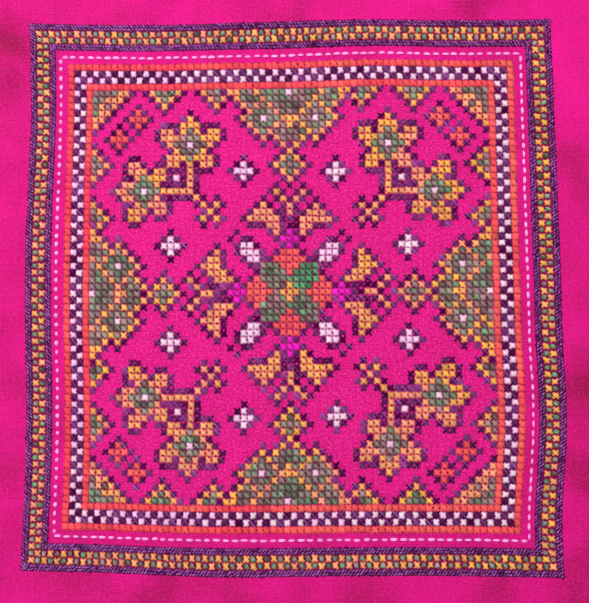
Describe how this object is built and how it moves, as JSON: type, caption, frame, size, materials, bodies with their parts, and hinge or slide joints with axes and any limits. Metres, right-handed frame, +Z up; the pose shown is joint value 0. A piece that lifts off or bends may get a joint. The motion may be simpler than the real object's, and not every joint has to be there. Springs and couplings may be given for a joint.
{
  "type": "cross-stitch embroidery panel",
  "caption": "Flat square of magenta cotton cloth, hand embroidered in counted cross stitch with banded borders and a symmetric star, flower and diamond field.",
  "frame": {"origin": "under the middle of the cloth, on the surface that it lies on", "axes": "+Z up, out of the embroidered face; +Y towards the panel's top edge, along its longer side; +X to the right"},
  "size_m": [0.2153, 0.2195, 0.0047],
  "materials": {
    "cotton_cloth": "plain-woven magenta cotton, matt, stitched with stranded cotton thread in navy, yellow, green, orange-red, white and pink"
  },
  "bodies": {
    "root": {"panel_cloth": "cotton_cloth"}
  },
  "joints": []
}
